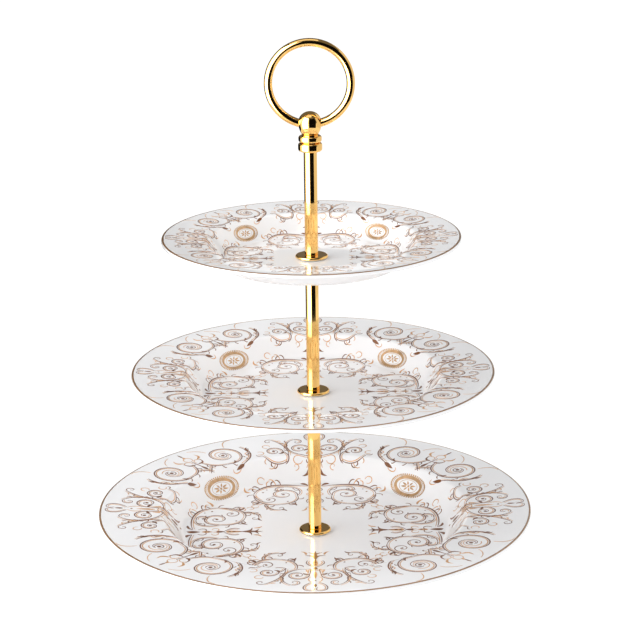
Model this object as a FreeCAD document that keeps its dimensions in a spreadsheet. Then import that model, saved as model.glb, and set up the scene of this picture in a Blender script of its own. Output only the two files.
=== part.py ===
"""Three-tier cake stand: porcelain plates clamped on a screwed-together gold-plated stem.

Millimetres, +Z up. The origin is the middle of the large plate's foot ring, on the surface that
the stand rests on. The carrying ring lies in the XZ plane.
"""
import FreeCAD, Part
import os
import re
import Sketcher

from FreeCAD import Vector

# Driving dimensions. Every size that can be set by itself is written once, here.
DIMENSIONS = {
    # plates: outer radius, radius of the flat well, width and height of the well's wall
    "large_radius": 135.0,
    "large_well_radius": 82.5,
    "large_wall_run": 13.0,
    "large_wall_rise": 15.4,
    "large_foot_inset": 18.0,
    "medium_radius": 111.5,
    "medium_well_radius": 68.1,
    "medium_wall_run": 10.7,
    "medium_wall_rise": 13.3,
    "medium_foot_inset": 15.0,
    "medium_recess": 4.0,
    "small_radius": 90.5,
    "small_well_radius": 54.4,
    "small_wall_run": 9.2,
    "small_wall_rise": 12.1,
    "small_foot_inset": 12.2,
    "small_recess": 2.2,
    "floor_thickness": 3.0,
    "rim_thickness": 2.8,
    "edge_thickness": 2.4,
    "rim_rise": 2.2,
    "wall_shift": 1.0,
    "foot_width": 3.4,
    "foot_taper": 0.5,
    "well_fillet": 8.0,
    "under_fillet": 11.0,
    "shoulder_fillet": 4.0,
    "edge_fillet": 1.0,
    "hole_clearance": 2.0,
    # discs and soft washers that clamp each plate
    "disc_radius": 10.0,
    "disc_thickness": 1.5,
    "disc_round": 0.5,
    "gasket_radius": 9.4,
    "gasket_thickness": 0.8,
    # rods, studs and the screw under the large plate
    "rod_radius": 4.0,
    "rod_chamfer": 0.4,
    "lower_rod_length": 84.3,
    "middle_rod_length": 78.3,
    "upper_rod_length": 63.6,
    "thread_radius": 3.0,
    "thread_clearance": 0.05,
    "thread_engaged": 8.0,
    "bore_spare": 1.0,
    "stud_chamfer": 0.4,
    "head_radius": 6.0,
    "head_thickness": 2.2,
    "head_round": 0.5,
    "slot_width": 1.4,
    "slot_depth": 1.1,
    "ground_clearance": 0.5,
    # handle: two beads, a neck and a ball that holds the ends of the carrying ring
    "lower_bead_radius": 7.3,
    "lower_bead_length": 5.3,
    "upper_bead_radius": 7.05,
    "upper_bead_length": 4.2,
    "bead_gap": 0.2,
    "bead_round": 1.6,
    "neck_radius": 4.75,
    "ball_radius": 7.0,
    "ball_crown": 6.8,
    "ball_tail": 9.8,
    "ball_height": 7.7,
    "ring_radius": 24.5,
    "wire_radius": 2.5,
    "ring_below_centre": 1.1,
    "ring_web_angle": 2.5,
    "socket_clearance": 0.05,
}

# Sizes and heights that follow from the driving dimensions, in the order they build on each other.
DERIVED = {
    "clamp_thickness": "gasket_thickness + disc_thickness",
    "bore_radius": "thread_radius + thread_clearance",
    "bore_depth": "thread_engaged + bore_spare",
    "plate_hole_radius": "thread_radius + hole_clearance",
    "stack_thickness": "floor_thickness + 2 * clamp_thickness",
    "end_chamfer": "min(rod_chamfer; (rod_radius - bore_radius) / 2)",
    "lip_round": "min(edge_fillet; edge_thickness * 5 / 12)",
    "large_recess": "clamp_thickness + head_thickness + ground_clearance",
    "large_floor": "large_recess + floor_thickness",
    "lower_rod_base": "large_floor + clamp_thickness",
    "medium_under_clamp": "lower_rod_base + lower_rod_length",
    "medium_underside": "medium_under_clamp + clamp_thickness",
    "medium_base": "medium_underside - medium_recess",
    "medium_floor": "medium_underside + floor_thickness",
    "middle_rod_base": "medium_floor + clamp_thickness",
    "small_under_clamp": "middle_rod_base + middle_rod_length",
    "small_underside": "small_under_clamp + clamp_thickness",
    "small_base": "small_underside - small_recess",
    "small_floor": "small_underside + floor_thickness",
    "upper_rod_base": "small_floor + clamp_thickness",
    "handle_base": "upper_rod_base + upper_rod_length",
    "upper_bead_base": "lower_bead_length + bead_gap",
    "neck_base": "upper_bead_base + upper_bead_length",
    "ball_centre": "neck_base + ball_height",
    "ring_centre": "ball_centre - ring_below_centre + ring_radius",
}

doc = FreeCAD.newDocument("CakeStand")


def make_sheet():
    """The spreadsheet of driving dimensions: a name, a plain number and its alias on each row."""
    sheet = doc.addObject("Spreadsheet::Sheet", "Sizes")
    for row, (name, value) in enumerate(DIMENSIONS.items(), start=1):
        sheet.set(f"A{row}", name)
        sheet.set(f"B{row}", str(value))
        sheet.setAlias(f"B{row}", name)
    doc.recompute()
    return sheet


def qualified(formula):
    """The formula with each name written as the cell or level that holds it."""
    def owner(match):
        name = match.group()
        if name in DIMENSIONS:
            return "Sizes." + name
        return "Levels." + name if name in DERIVED else name
    return re.sub(r"[a-z][a-z_]*", owner, str(formula))


def make_levels():
    """The set of derived sizes, each bound to the dimensions it follows."""
    levels = doc.addObject("App::VarSet", "Levels")
    for name, formula in DERIVED.items():
        levels.addProperty("App::PropertyFloat", name)
        levels.setExpression(name, qualified(formula))
    doc.recompute()
    return levels


sizes = make_sheet()
levels = make_levels()


def value(formula):
    """The formula's present value."""
    return float(levels.evalExpression(qualified(formula)))


def bind(thing, prop, formula):
    """Tie one property to a formula over the named sizes."""
    thing.setExpression(prop, qualified(formula))


def new_body(label, base="0"):
    """An empty body with its own label, standing at the height that the formula gives."""
    body = doc.addObject("PartDesign::Body", label)
    body.Label = label
    bind(body, "Placement.Base.z", base)
    return body


def origin_plane(body, role):
    return next(p for p in body.Origin.OriginFeatures if p.Role == role)


def new_sketch(body, name, role="XZ_Plane"):
    sketch = body.newObject("Sketcher::SketchObject", name)
    sketch.AttachmentSupport = (origin_plane(body, role), "")
    sketch.MapMode = "FlatFace"
    return sketch


def hold(sketch, name, constraint, formula):
    """Add a sized constraint under a name and tie its size to a formula."""
    row = sketch.addConstraint(constraint)
    sketch.renameConstraint(row, name)
    bind(sketch, ".Constraints." + name, formula)


def constrain(sketch, kind, corner, name, formula):
    """Hold one corner's distance from the origin at a formula, or on the axis where it is zero."""
    if formula == "0":
        axis = -2 if kind == "DistanceX" else -1
        sketch.addConstraint(Sketcher.Constraint("PointOnObject", corner, 1, axis))
        return
    distance = Sketcher.Constraint(kind, -1, 1, corner, 1, value(formula))
    hold(sketch, name, distance, formula)


def closed_outline(sketch, corners):
    """A closed outline of straight lines whose corners are pairs of formulas."""
    spots = [Vector(value(across), value(up), 0) for across, up in corners]
    count = len(spots)
    for i in range(count):
        sketch.addGeometry(Part.LineSegment(spots[i], spots[(i + 1) % count]), False)
    for i in range(count):
        sketch.addConstraint(Sketcher.Constraint("Coincident", i, 2, (i + 1) % count, 1))
    for i, (across, up) in enumerate(corners):
        constrain(sketch, "DistanceX", i, f"across{i}", across)
        constrain(sketch, "DistanceY", i, f"up{i}", up)


def turned(label, corners, base="0"):
    """A piece turned about its own Z axis from a half-section of (radius, height) corners."""
    body = new_body(label, base)
    sketch = new_sketch(body, label + "_section")
    closed_outline(sketch, corners)
    turn = body.newObject("PartDesign::Revolution", label + "_turned")
    turn.Profile = sketch
    turn.ReferenceAxis = (sketch, ["V_Axis"])
    turn.Angle = 360
    doc.recompute()
    return body


def circle_edges(body, *circles):
    """Names of the round edges of the body's tip with these (radius, height) formulas."""
    wanted = [(value(radius), value(height)) for radius, height in circles]
    found = []
    for number, edge in enumerate(body.Tip.Shape.Edges, start=1):
        if edge.Curve.TypeId != "Part::GeomCircle":
            continue
        place = (edge.Curve.Radius, edge.Curve.Center.z)
        if any(abs(place[0] - r) < 0.01 and abs(place[1] - z) < 0.01 for r, z in wanted):
            found.append(f"Edge{number}")
    if len(found) != len(wanted):
        raise RuntimeError(f"{body.Label}: {len(found)} edges found of {len(wanted)}")
    return found


def rounded(body, name, radius, *circles):
    """Fillet the round edges at these (radius, height) formulas."""
    base = body.Tip
    edges = circle_edges(body, *circles)
    fillet = body.newObject("PartDesign::Fillet", f"{body.Label}_{name}")
    fillet.Base = (base, edges)
    bind(fillet, "Radius", radius)
    doc.recompute()
    return fillet


# ---------------------------------------------------------------- porcelain

def plate(tier):
    """A coupe-rimmed plate: flat well, steep wall, wide rim, foot ring and a hole for the stem."""
    base = "0" if tier == "large" else f"{tier}_base"
    recess = f"{tier}_recess"
    floor = f"{recess} + floor_thickness"
    shoulder = f"{tier}_well_radius + {tier}_wall_run"
    shoulder_top = f"{floor} + {tier}_wall_rise"
    shoulder_under = f"{shoulder_top} - rim_thickness"
    rim_top = f"{shoulder_top} + rim_rise"
    rim_under = f"{rim_top} - edge_thickness"
    well_under = f"{tier}_well_radius + wall_shift"
    foot = f"{tier}_well_radius - {tier}_foot_inset"
    outer = f"{tier}_radius"
    body = turned(f"plate_{tier}", [
        ("plate_hole_radius", floor),
        (f"{tier}_well_radius", floor),
        (shoulder, shoulder_top),
        (outer, rim_top),
        (outer, rim_under),
        (f"{shoulder} + wall_shift", shoulder_under),
        (well_under, recess),
        (f"{foot} + foot_width / 2", recess),
        (f"{foot} + foot_width / 2 - foot_taper", "0"),
        (f"{foot} - foot_width / 2 + foot_taper", "0"),
        (f"{foot} - foot_width / 2", recess),
        ("plate_hole_radius", recess),
    ], base)
    rounded(body, "well", "well_fillet", (f"{tier}_well_radius", floor))
    rounded(body, "well_under", "under_fillet", (well_under, recess))
    rounded(body, "shoulder", "shoulder_fillet", (shoulder, shoulder_top),
            (f"{shoulder} + wall_shift", shoulder_under))
    rounded(body, "edge", "lip_round", (outer, rim_top), (outer, rim_under))
    return body


# ---------------------------------------------------------------- clamps

def washer(label, radius, thickness, base):
    """A flat ring that a stud passes through."""
    return turned(label, [
        ("bore_radius", "0"),
        (radius, "0"),
        (radius, thickness),
        ("bore_radius", thickness),
    ], base)


def gasket(label, base):
    """A soft washer between a disc and the porcelain."""
    return washer(label, "gasket_radius", "gasket_thickness", base)


def disc(label, base):
    """A gold-plated disc with softened edges."""
    body = washer(label, "disc_radius", "disc_thickness", base)
    rounded(body, "rim", "disc_round", ("disc_radius", "0"), ("disc_radius", "disc_thickness"))
    return body


def clamp_above(tier):
    """The washer and disc that press on the top of a plate's floor."""
    return [
        gasket(f"{tier}_top_gasket", f"{tier}_floor"),
        disc(f"{tier}_top_disc", f"{tier}_floor + gasket_thickness"),
    ]


def clamp_below(tier, underside):
    """The disc and washer that carry a plate's floor from below."""
    return [
        gasket(f"{tier}_under_gasket", f"{underside} - gasket_thickness"),
        disc(f"{tier}_under_disc", f"{underside} - clamp_thickness"),
    ]


def cut_upwards(body, sketch, depth):
    """Cut a sketch on the body's underside up into the solid, and stop if nothing was cut."""
    pocket = body.newObject("PartDesign::Pocket", sketch.Label + "_cut")
    pocket.Profile = sketch
    pocket.Reversed = True
    bind(pocket, "Length", depth)
    before = body.Shape.Volume
    doc.recompute()
    if body.Shape.Volume >= before:
        raise RuntimeError(f"{sketch.Label} cuts nothing")


# ---------------------------------------------------------------- stem

def rod(label, length, base):
    """A round rod with a blind threaded bore in each end, drawn at the thread's major size."""
    return turned(label, [
        ("bore_radius", "0"),
        ("rod_radius - end_chamfer", "0"),
        ("rod_radius", "end_chamfer"),
        ("rod_radius", f"{length} - end_chamfer"),
        ("rod_radius - end_chamfer", length),
        ("bore_radius", length),
        ("bore_radius", f"{length} - bore_depth"),
        ("0", f"{length} - bore_depth"),
        ("0", "bore_depth"),
        ("bore_radius", "bore_depth"),
    ], base)


def stud(label, between, base):
    """A threaded stud, engaged at both ends and passing what lies between, at its major size."""
    length = f"{between} + 2 * thread_engaged"
    return turned(label, [
        ("0", "0"),
        ("thread_radius - stud_chamfer", "0"),
        ("thread_radius", "stud_chamfer"),
        ("thread_radius", f"{length} - stud_chamfer"),
        ("thread_radius - stud_chamfer", length),
        ("0", length),
    ], f"{base} - thread_engaged")


def base_screw():
    """The slotted screw that holds the large plate from below, its head inside the foot ring."""
    top = "head_thickness + stack_thickness + thread_engaged"
    body = turned("base_screw", [
        ("0", "0"),
        ("head_radius", "0"),
        ("head_radius", "head_thickness"),
        ("thread_radius", "head_thickness"),
        ("thread_radius", f"{top} - stud_chamfer"),
        ("thread_radius - stud_chamfer", top),
        ("0", top),
    ], "ground_clearance")
    rounded(body, "head_round", "head_round", ("head_radius", "0"))
    sketch = new_sketch(body, "base_screw_slot", "XY_Plane")
    side, end = "slot_width / 2", "head_radius + slot_width"
    closed_outline(sketch, [(f"-({end})", f"-({side})"), (end, f"-({side})"),
                            (end, side), (f"-({end})", side)])
    cut_upwards(body, sketch, "slot_depth")
    return body


# ---------------------------------------------------------------- handle

def wire_sketch(body, name, wire):
    """A round section at the top of the ring, and the ring's axis as a construction line."""
    sketch = new_sketch(body, name, "YZ_Plane")
    centre, top = value("ring_centre"), value("ring_centre + ring_radius")
    axis_end = value("ball_radius")
    sketch.addGeometry(Part.LineSegment(Vector(0, centre, 0), Vector(axis_end, centre, 0)), True)
    sketch.addGeometry(Part.Circle(Vector(0, top, 0), Vector(0, 0, 1), value(wire)), False)
    sketch.addConstraint(Sketcher.Constraint("Horizontal", 0))
    sketch.addConstraint(Sketcher.Constraint("PointOnObject", 0, 1, -2))
    sketch.addConstraint(Sketcher.Constraint("PointOnObject", 1, 3, -2))
    hold(sketch, "axis_length", Sketcher.Constraint("DistanceX", 0, 1, 0, 2, axis_end),
         "ball_radius")
    hold(sketch, "axis_height", Sketcher.Constraint("DistanceY", -1, 1, 0, 1, centre),
         "ring_centre")
    hold(sketch, "wire_height", Sketcher.Constraint("DistanceY", -1, 1, 1, 3, top),
         "ring_centre + ring_radius")
    hold(sketch, "wire_size", Sketcher.Constraint("Radius", 1, value(wire)), wire)
    return sketch


def swept_ring(body, kind, name, wire):
    """The bent wire, or the sockets that take its ends, swept all round but for the web."""
    sketch = wire_sketch(body, name + "_section", wire)
    sweep = body.newObject("PartDesign::" + kind, name)
    sweep.Profile = sketch
    sweep.ReferenceAxis = (sketch, ["Axis0"])
    sweep.Midplane = True
    bind(sweep, "Angle", "360 - 2 * ring_web_angle")
    doc.recompute()
    return sweep


def ellipsoid(body, name, polar_radius, lowest, highest):
    """Part of the ball: an ellipsoid about its centre, kept between two latitudes in degrees."""
    shape = body.newObject("PartDesign::AdditiveEllipsoid", name)
    bind(shape, "Placement.Base.z", "ball_centre")
    bind(shape, "Radius1", polar_radius)
    bind(shape, "Radius2", "ball_radius")
    bind(shape, "Radius3", "ball_radius")
    shape.Angle1 = lowest
    shape.Angle2 = highest
    doc.recompute()
    return shape


def handle_knob():
    """Two beads, a neck and an egg-shaped ball, bored for the stud and socketed for the ring."""
    body = turned("handle_knob", [
        ("0", "0"),
        ("lower_bead_radius", "0"),
        ("lower_bead_radius", "lower_bead_length"),
        ("neck_radius", "lower_bead_length"),
        ("neck_radius", "upper_bead_base"),
        ("upper_bead_radius", "upper_bead_base"),
        ("upper_bead_radius", "neck_base"),
        ("neck_radius", "neck_base"),
        ("neck_radius", "ball_centre"),
        ("0", "ball_centre"),
    ], "handle_base")
    rounded(body, "lower_bead_round", "bead_round", ("lower_bead_radius", "0"),
            ("lower_bead_radius", "lower_bead_length"))
    rounded(body, "upper_bead_round", "bead_round", ("upper_bead_radius", "upper_bead_base"),
            ("upper_bead_radius", "neck_base"))
    ellipsoid(body, "ball_tail_half", "ball_tail", -90, 0)
    ellipsoid(body, "ball_crown_half", "ball_crown", 0, 90)
    bore = new_sketch(body, "handle_bore", "XY_Plane")
    bore.addGeometry(Part.Circle(Vector(0, 0, 0), Vector(0, 0, 1), value("bore_radius")), False)
    bore.addConstraint(Sketcher.Constraint("Coincident", 0, 3, -1, 1))
    hold(bore, "bore_size", Sketcher.Constraint("Radius", 0, value("bore_radius")), "bore_radius")
    cut_upwards(body, bore, "bore_depth")
    before = body.Shape.Volume
    swept_ring(body, "Groove", "ring_sockets", "wire_radius + socket_clearance")
    if body.Shape.Volume >= before:
        raise RuntimeError("the ring's sockets cut nothing")
    return body


def handle_ring():
    """The carrying ring, a round wire bent into a circle with both ends inside the ball."""
    body = new_body("handle_ring", "handle_base")
    swept_ring(body, "Revolution", "bent_wire", "wire_radius")
    return body


# ---------------------------------------------------------------- assembly and files

def build():
    """Every piece of the stand, from the table up."""
    return [
        base_screw(),
        *clamp_below("large", "large_recess"),
        plate("large"),
        *clamp_above("large"),
        rod("lower_rod", "lower_rod_length", "lower_rod_base"),
        stud("lower_stud", "stack_thickness", "medium_under_clamp"),
        *clamp_below("medium", "medium_underside"),
        plate("medium"),
        *clamp_above("medium"),
        rod("middle_rod", "middle_rod_length", "middle_rod_base"),
        stud("middle_stud", "stack_thickness", "small_under_clamp"),
        *clamp_below("small", "small_underside"),
        plate("small"),
        *clamp_above("small"),
        rod("upper_rod", "upper_rod_length", "upper_rod_base"),
        stud("top_stud", "0", "handle_base"),
        handle_knob(),
        handle_ring(),
    ]


def check(pieces):
    """Stop if any object failed to compute or any piece isn't one valid solid."""
    for thing in doc.Objects:
        if {"Invalid", "Error"} & set(thing.State):
            raise RuntimeError(f"{thing.Label} did not compute: {thing.State}")
    for piece in pieces:
        shape = piece.Shape
        if shape.isNull() or not shape.isValid() or len(shape.Solids) != 1:
            raise RuntimeError(f"{piece.Label} is not one valid solid")


def export(pieces):
    os.makedirs("parts", exist_ok=True)
    for piece in pieces:
        piece.Shape.exportStep(f"parts/{piece.Label}.step")
        box = piece.Shape.BoundBox
        print(f"{piece.Label:20s} z {box.ZMin:8.2f} to {box.ZMax:8.2f}  r {box.XMax:7.2f}"
              f"  {piece.Shape.Volume / 1000:8.2f} cm3")


pieces = build()
doc.recompute()
check(pieces)
export(pieces)
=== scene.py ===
"""A three-tier porcelain cake stand with a gilt stem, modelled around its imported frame.

Lengths are in metres in the operators and in millimetres in the painted ornament, which is drawn
for the large plate and scaled to the other two. +Z is up.
"""
import bisect
import math

import bpy
from mathutils import Matrix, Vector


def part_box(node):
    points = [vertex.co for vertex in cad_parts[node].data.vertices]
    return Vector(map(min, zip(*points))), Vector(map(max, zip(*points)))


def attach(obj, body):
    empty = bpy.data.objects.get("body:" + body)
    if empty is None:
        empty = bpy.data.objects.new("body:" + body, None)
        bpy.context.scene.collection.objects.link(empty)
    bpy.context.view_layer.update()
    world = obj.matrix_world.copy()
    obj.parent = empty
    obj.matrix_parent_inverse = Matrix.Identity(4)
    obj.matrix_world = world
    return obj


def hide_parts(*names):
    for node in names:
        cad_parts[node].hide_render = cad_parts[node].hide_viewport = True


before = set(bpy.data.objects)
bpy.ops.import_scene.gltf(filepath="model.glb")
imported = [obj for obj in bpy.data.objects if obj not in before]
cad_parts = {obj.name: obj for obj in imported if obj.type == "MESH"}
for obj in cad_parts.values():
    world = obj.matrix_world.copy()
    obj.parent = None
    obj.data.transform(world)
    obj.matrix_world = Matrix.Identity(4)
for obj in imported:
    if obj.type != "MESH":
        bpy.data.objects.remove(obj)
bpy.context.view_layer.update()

bl_info = {
    "name": "Tiered Cake Stand",
    "version": (1, 0, 0),
    "blender": (4, 5, 0),
    "location": "3D View > Sidebar > Cake Stand",
    "description": "Builds a three-tier porcelain cake stand with a gilt stem and its studio",
    "category": "Add Mesh",
}

MM = 0.001
TIERS = ("large", "medium", "small")
TIER_BODIES = {"large": "base", "medium": "medium_tier", "small": "small_tier"}
# Each plate's own shape in millimetres; the rest of its section is shared.
TIER_SHAPES = {
    "large": {"well_radius": 82.5, "wall_run": 13.0, "wall_rise": 15.4, "recess": 5.0, "foot_inset": 18.0},
    "medium": {"well_radius": 68.1, "wall_run": 10.7, "wall_rise": 13.3, "recess": 4.0, "foot_inset": 15.0},
    "small": {"well_radius": 54.4, "wall_run": 9.2, "wall_rise": 12.1, "recess": 2.2, "foot_inset": 12.2},
}
SMOOTH_BELOW = math.radians(38)
ARC_STEP = math.radians(6)
MERGE = 0.001 * MM
SLACK = 0.05 * MM  # how far a piece may miss the size of its CAD node
THREAD_DEPTH = 0.58  # depth of a metric thread, in pitches
BALL_STEPS = 40
FLOOR_SIZE = 12.0
CARD_STEPS = 24
# Studio cards that only mirrors see: where each starts and ends in degrees from the front, its
# distance and height in metres, and what covers it.
CARDS = {
    "left_strip": (-78, -22, 0.45, 0.8, "strip"),
    "left_panel": (-104, -12, 0.46, 0.8, "panel"),
    "white_backdrop": (105, 255, 2.0, 0.5, "paper"),
    "right_reflector": (70, 150, 0.6, 0.8, "paper"),
    "front_flag": (-10, 62, 0.50, 0.8, "flock"),
    "rear_left_flag": (-170, -108, 0.50, 0.4, "flock"),
}
# Softboxes: the place in metres, the turn in degrees, and the width and depth in metres.
SOFTBOXES = {
    "overhead_softbox": ((-0.2, -0.2, 1.5), (0, 0, 0), (1.0, 0.8)),
    "left_softbox": ((-1.1, -0.35, 0.95), (0, -52, 18), (0.9, 0.9)),
}


# ---------------------------------------------------------------- settings

def length(name, description, millimetres):
    """A length setting, given in millimetres and kept in metres."""
    return bpy.props.FloatProperty(name=name, description=description, default=millimetres * MM,
                                   min=0.0, unit="LENGTH", precision=5)


def share(name, description, default):
    """A setting between 0 and 1."""
    return bpy.props.FloatProperty(name=name, description=description, default=default,
                                   min=0.0, max=1.0, subtype="FACTOR")


def amount(name, description, default):
    """A plain number of at least 0."""
    return bpy.props.FloatProperty(name=name, description=description, default=default, min=0.0)


def angle(name, description, degrees):
    """An angle, given in degrees and kept in radians."""
    return bpy.props.FloatProperty(name=name, description=description, default=math.radians(degrees),
                                   subtype="ANGLE")


def count(name, description, default):
    """A whole number of pieces, turns or steps."""
    return bpy.props.IntProperty(name=name, description=description, default=default, min=3)


def hex_colour(name, description, default):
    """A colour as an sRGB hex value, such as #FFFFFF."""
    return bpy.props.StringProperty(name=name, description=description, default=default, maxlen=7)


class PlateShape(bpy.types.PropertyGroup):
    """The sizes that one plate has for itself"""

    well_radius: length("Well radius", "Radius of the flat floor, to the start of the wall", 82.5)
    wall_run: length("Wall run", "How far outwards the well's wall leans", 13.0)
    wall_rise: length("Wall rise", "How high the well's wall is", 15.4)
    recess: length("Recess", "Height of the floor's underside over the foot", 5.0)
    foot_inset: length("Foot inset", "How far inside the well the foot ring stands", 18.0)


class StandSizes(bpy.types.PropertyGroup):
    """The sizes of the stand's pieces"""

    large: bpy.props.PointerProperty(name="Large plate", type=PlateShape)
    medium: bpy.props.PointerProperty(name="Medium plate", type=PlateShape)
    small: bpy.props.PointerProperty(name="Small plate", type=PlateShape)
    floor_thickness: length("Floor thickness", "Thickness of a plate's floor", 3.0)
    rim_thickness: length("Rim thickness", "Thickness of the rim where it leaves the wall", 2.8)
    edge_thickness: length("Edge thickness", "Thickness of the rim at its edge", 2.4)
    rim_rise: length("Rim rise", "How much the rim climbs to its edge", 2.2)
    wall_shift: length("Wall shift", "How far the wall's underside stands outside its top", 1.0)
    foot_width: length("Foot width", "Width of the foot ring where it joins the plate", 3.4)
    foot_taper: length("Foot taper", "How much the foot ring narrows on each side", 0.5)
    well_fillet: length("Well fillet", "Radius between floor and wall", 8.0)
    under_fillet: length("Under fillet", "Radius under the well's corner", 11.0)
    shoulder_fillet: length("Shoulder fillet", "Radius between wall and rim", 4.0)
    lip_round: length("Lip round", "Radius of the rim's edge", 1.0)
    plate_hole: length("Plate hole", "Radius of the hole for the stem", 5.0)
    thread_radius: length("Thread radius", "Outside radius of the studs' thread", 3.0)
    thread_pitch: length("Thread pitch", "How far one turn of the thread climbs", 1.0)
    bore_clearance: length("Bore clearance", "How much wider a bore is than its thread", 0.05)
    bore_depth: length("Bore depth", "Depth of the bore in a rod's end", 9.0)
    end_round: length("End round", "Radius on a rod's ends", 0.4)
    disc_round: length("Disc round", "Radius on a disc's upper edge", 1.2)
    disc_arris: length("Disc arris", "Radius on a disc's lower edge", 0.2)
    washer_round: length("Washer round", "Radius on a washer's edges", 0.15)
    lower_bead: length("Lower bead", "Height of the lower bead under the handle", 5.3)
    bead_gap: length("Bead gap", "Groove between the two beads", 0.2)
    upper_bead: length("Upper bead", "Height of the upper bead", 4.2)
    bead_round: length("Bead round", "Radius on a bead's shoulders", 1.6)
    upper_bead_inset: length("Upper bead inset", "How much slimmer the upper bead is", 0.25)
    neck_radius: length("Neck radius", "Radius between the beads and the ball", 4.75)
    ball_radius: length("Ball radius", "Radius of the ball round its middle", 7.0)
    ball_crown: length("Ball crown", "Height of the ball over its middle", 6.8)
    ball_tail: length("Ball tail", "Depth of the ball's pointed lower half", 9.8)
    ball_height: length("Ball height", "Height of the ball's middle over the upper bead", 7.7)
    wire_radius: length("Wire radius", "Radius of the carrying ring's wire", 2.5)
    ring_web: angle("Ring web", "Angle of solid ball between the ring's ends, each side", 2.5)
    socket_clearance: length("Socket clearance", "Gap round the ring's ends in the ball", 0.05)
    round_steps: count("Round steps", "Faces round a plate", 240)
    turned_steps: count("Turned steps", "Faces round a turned metal piece", 96)
    thread_steps: count("Thread steps", "Faces along one turn of the thread", 48)
    wire_steps: count("Wire steps", "Faces round the carrying ring's wire", 40)
    bend_steps: count("Bend steps", "Faces along the carrying ring", 200)


class PaintSettings(bpy.types.PropertyGroup):
    """The ornament that is printed and fired on the plates"""

    lift_dark: length("Dark lift", "How far the dark lines stand on the glaze", 0.06)
    lift_pale: length("Pale lift", "How far the pale lines stand on the glaze", 0.04)
    film: length("Film", "Thickness of a printed line, most of it in the glaze", 0.07)
    edge_line: length("Edge line", "Width of the line round the rim", 1.2)
    edge_inset: length("Edge inset", "Bare glaze between that line and the lip", 0.8)


class FinishSettings(bpy.types.PropertyGroup):
    """The colours and gloss of each material"""

    glaze: hex_colour("Glaze", "White of the glazed porcelain", "#ECECED")
    biscuit: hex_colour("Biscuit", "Bare porcelain under the foot ring", "#D9D2C6")
    dark_line: hex_colour("Dark line", "Sepia of the main scrolls", "#804A1E")
    pale_line: hex_colour("Pale line", "Tan of the echo lines", "#DCA66E")
    medallion: hex_colour("Medallion", "Burnished gold of the medallions", "#CDA374")
    edge_line: hex_colour("Edge line", "Brown gold of the line round the rim", "#9A744E")
    gold: hex_colour("Gold", "Plating on the stem and handle", "#FFCE7C")
    washer: hex_colour("Washer", "Clear soft washers between disc and plate", "#E4E2DA")
    glaze_gloss: share("Glaze gloss", "Roughness of the clear glaze", 0.03)
    gold_gloss: share("Gold gloss", "Roughness of the polished plating", 0.05)


class StudioSettings(bpy.types.PropertyGroup):
    """The floor, the lights and the camera"""

    camera_distance: length("Camera distance", "How far in front of the stand the camera is", 1239.0)
    camera_height: length("Camera height", "Height of the camera over the table", 519.3)
    camera_side: length("Camera side", "How far to the right of the stand the camera is", 2.2)
    camera_pitch: angle("Camera pitch", "How far the camera looks down", 16.64)
    camera_roll: angle("Camera roll", "How far the camera leans", -0.7)
    lens: amount("Lens", "Focal length in millimetres on a 36 mm sensor", 120.68)
    floor: hex_colour("Floor", "Paint of the plain pale floor", "#606060")
    floor_glow: amount("Floor glow", "Light that the lit floor gives back by itself", 0.93)
    key_power: amount("Key power", "Radiance of the overhead softbox", 1.0)
    fill: amount("Fill", "Soft light from the white walls, low down", 2.38)
    fill_drop: amount("Fill drop", "How much dimmer the soft light is straight above", 1.82)
    fill_lean: amount("Fill lean", "How much brighter the soft light is on the left", 0.5)
    fill_back: amount("Fill back", "How much brighter the soft light is behind the stand", 0.35)
    side_power: amount("Side power", "Radiance of the softbox on the left", 2.2)
    strip_power: amount("Strip power", "Radiance of the strip light that polished metal mirrors", 11.0)
    panel_power: amount("Panel power", "Radiance of the reflector round that strip light", 1.5)
    backdrop: amount("Backdrop", "Brightness of the white paper behind the stand", 0.85)
    room: amount("Room", "Brightness of the dim room that mirrors see", 0.16)
    flock: amount("Flock", "Brightness of the black flags", 0.004)


class StandSettings(bpy.types.PropertyGroup):
    """Everything that can be set on the cake stand"""

    sizes: bpy.props.PointerProperty(name="Sizes", type=StandSizes)
    paint: bpy.props.PointerProperty(name="Paint", type=PaintSettings)
    finish: bpy.props.PointerProperty(name="Finish", type=FinishSettings)
    studio: bpy.props.PointerProperty(name="Studio", type=StudioSettings)


def settings():
    """The scene's own settings."""
    return bpy.context.scene.cake_stand


# ---------------------------------------------------------------- outlines

def rounded(corners):
    """An outline's points, with an arc at each corner (radius, height, rounding) that has one."""
    points = []
    for i, corner in enumerate(corners):
        here = corner[:2]
        radius = corner[2] if len(corner) > 2 else 0.0
        if not radius:
            points.append(here)
            continue
        before = corners[i - 1][:2]
        after = corners[(i + 1) % len(corners)][:2]
        points += arc(before, here, after, radius)
    return points


def arc(before, corner, after, radius):
    """The points of the arc that rounds one corner."""
    sides = []
    for other in (before, after):
        du, dv = other[0] - corner[0], other[1] - corner[1]
        reach = math.hypot(du, dv)
        sides.append((du / reach, dv / reach))
    opening = math.acos(max(-1.0, min(1.0, sides[0][0] * sides[1][0] + sides[0][1] * sides[1][1])))
    tangent = radius / math.tan(opening / 2)
    middle = [sides[0][k] + sides[1][k] for k in (0, 1)]
    to_centre = radius / math.sin(opening / 2) / math.hypot(*middle)
    centre = [corner[k] + middle[k] * to_centre for k in (0, 1)]
    ends = [math.atan2(corner[1] + dv * tangent - centre[1], corner[0] + du * tangent - centre[0])
            for du, dv in sides]
    sweep = (ends[1] - ends[0] + math.pi) % (2 * math.pi) - math.pi
    steps = max(3, round(abs(sweep) / ARC_STEP))
    return [(centre[0] + radius * math.cos(ends[0] + sweep * i / steps),
             centre[1] + radius * math.sin(ends[0] + sweep * i / steps)) for i in range(steps + 1)]


def bottom(node):
    """Height of a CAD node's lowest point."""
    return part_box(node)[0].z


def top(node):
    """Height of a CAD node's highest point."""
    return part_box(node)[1].z


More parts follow.
